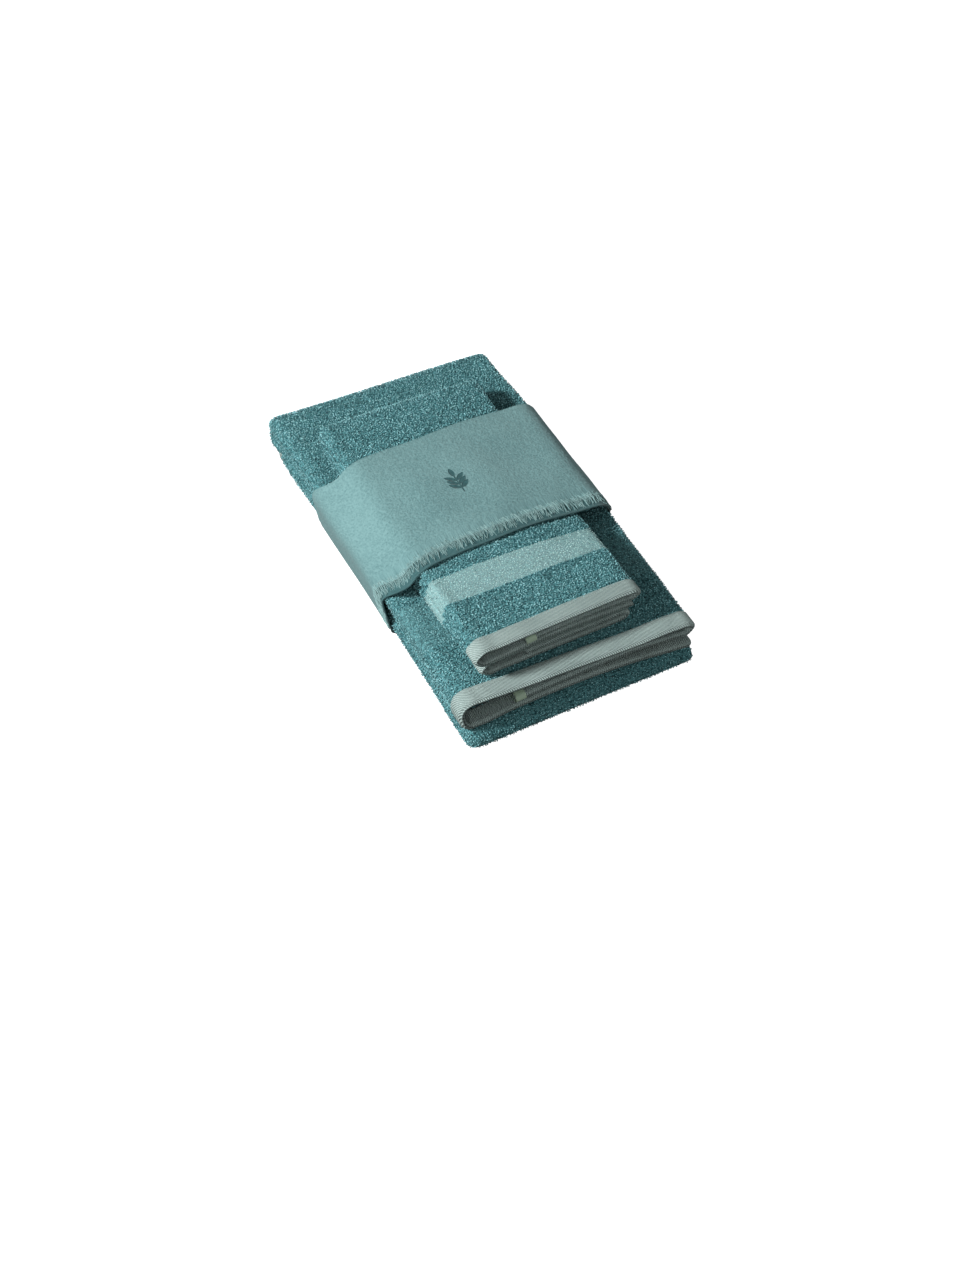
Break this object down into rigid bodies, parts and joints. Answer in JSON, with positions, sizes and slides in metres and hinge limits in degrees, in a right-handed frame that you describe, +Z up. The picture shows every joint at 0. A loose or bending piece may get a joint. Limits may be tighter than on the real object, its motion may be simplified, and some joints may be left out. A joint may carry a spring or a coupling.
{
  "type": "folded towel set",
  "caption": "Folded bath towel with a folded hand towel on top, held together by a cloth band with a frayed edge.",
  "frame": {"origin": "on the surface the set lies on, under the middle of the folded bath towel", "axes": "+X across the folded width, +Y towards the back folds (the hems show at -Y), +Z up"},
  "size_m": [0.2532, 0.462, 0.1009],
  "materials": {
    "bath_terry": "looped cotton terry, matt",
    "hand_terry": "looped cotton terry, matt",
    "hem_twill": "fine cotton twill, matt",
    "hem_thread": "spun cotton thread",
    "label_satin": "woven satin, blank",
    "band_cloth": "fine crepe with a soft sheen",
    "band_lining": "plain weave, matt",
    "band_fringe": "frayed yarn ends",
    "band_print": "screen print, matt"
  },
  "bodies": {
    "bath_towel": {"bath_towel_cloth": "bath_terry", "bath_hem_front": "hem_twill", "bath_hem_back": "hem_twill", "bath_hem_front_stitching": "hem_thread", "bath_hem_back_stitching": "hem_thread", "bath_care_label": "label_satin"},
    "hand_towel": {"hand_towel_cloth": "hand_terry", "hand_hem_upper": "hem_twill", "hand_hem_lower": "hem_twill", "hand_hem_upper_stitching": "hem_thread", "hand_hem_lower_stitching": "hem_thread", "hand_care_label": "label_satin"},
    "wrap_band": {"wrap_band": "band_cloth", "wrap_band_lining": "band_lining", "wrap_band_fringe": "band_fringe", "wrap_band_join_stitching": "hem_thread", "wrap_band_print": "band_print"}
  },
  "joints": [
    {"name": "hand_towel_pull", "type": "slide", "parent": "bath_towel", "child": "hand_towel", "axis": [0, -1, 0], "range_m": [0, 0.245]},
    {"name": "wrap_band_slide", "type": "slide", "parent": "bath_towel", "child": "wrap_band", "axis": [0, 1, 0], "range_m": [0, 0.32]}
  ]
}
